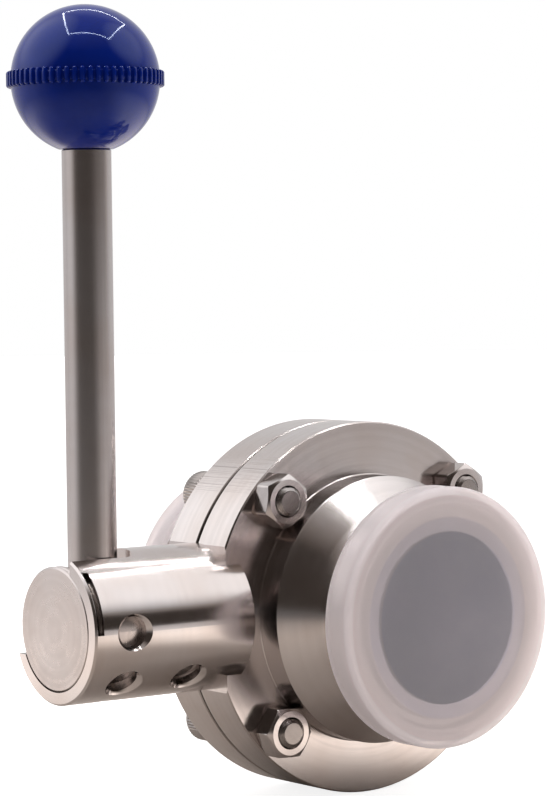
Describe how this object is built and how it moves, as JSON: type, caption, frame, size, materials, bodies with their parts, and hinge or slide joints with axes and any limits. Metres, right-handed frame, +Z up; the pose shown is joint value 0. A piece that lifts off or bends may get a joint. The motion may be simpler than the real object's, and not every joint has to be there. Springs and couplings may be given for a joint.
{
  "type": "hygienic butterfly shut-off valve",
  "caption": "Hand-operated butterfly valve with clamp ferrule ends, bolted body halves, a pull-and-turn indexing handle with ball knob, and push-on end caps.",
  "frame": {"origin": "centre of the bore on the parting plane of the two body halves, where the stem axis crosses the flow axis", "axes": "+X along the flow axis towards the nut side, stem along Y with the handle at -Y, +Z up along the handle rod with the valve shut"},
  "size_m": [0.0754, 0.1171, 0.1643],
  "materials": {
    "body_steel": "satin, fine turning lines",
    "disc_steel": "polished",
    "handle_steel": "bright satin, turned",
    "rod_steel": "ground satin",
    "fastener_steel": "bright, machined",
    "spring_steel": "drawn wire",
    "seat_rubber": "smooth moulded",
    "bush_plastic": "turned",
    "knob_plastic": "gloss moulded",
    "insert_brass": "turned",
    "cap_plastic": "milky translucent, smooth"
  },
  "bodies": {
    "valve_body": {"body_front": "body_steel", "body_rear": "body_steel", "seat_ring": "seat_rubber", "upper_bush": "bush_plastic", "lower_bush": "bush_plastic", "flange_bolts": "fastener_steel", "flange_nuts": "fastener_steel", "handle_sleeve": "handle_steel", "retaining_wire": "spring_steel"},
    "turning_group": {"valve_disc": "disc_steel", "handle_hub": "handle_steel", "grub_screw": "fastener_steel", "spring_gland": "fastener_steel", "rod_spring": "spring_steel"},
    "pull_group": {"pull_rod": "rod_steel", "index_plunger": "rod_steel", "ball_knob": "knob_plastic", "knob_insert": "insert_brass"},
    "front_cap": {"front_cap": "cap_plastic"},
    "rear_cap": {"rear_cap": "cap_plastic"}
  },
  "joints": [
    {"name": "handle_turn", "type": "hinge", "parent": "valve_body", "child": "turning_group", "pos_m": [0, 0, 0], "axis": [0, -1, 0], "range_deg": [0, 90]},
    {"name": "knob_pull", "type": "slide", "parent": "turning_group", "child": "pull_group", "axis": [0, 0, 1], "range_m": [-0.0043, 0.001], "deforming": ["rod_spring"]},
    {"name": "front_cap_pull", "type": "slide", "parent": "valve_body", "child": "front_cap", "axis": [1, 0, 0], "range_m": [0, 0.06]},
    {"name": "rear_cap_pull", "type": "slide", "parent": "valve_body", "child": "rear_cap", "axis": [-1, 0, 0], "range_m": [0, 0.06]}
  ]
}
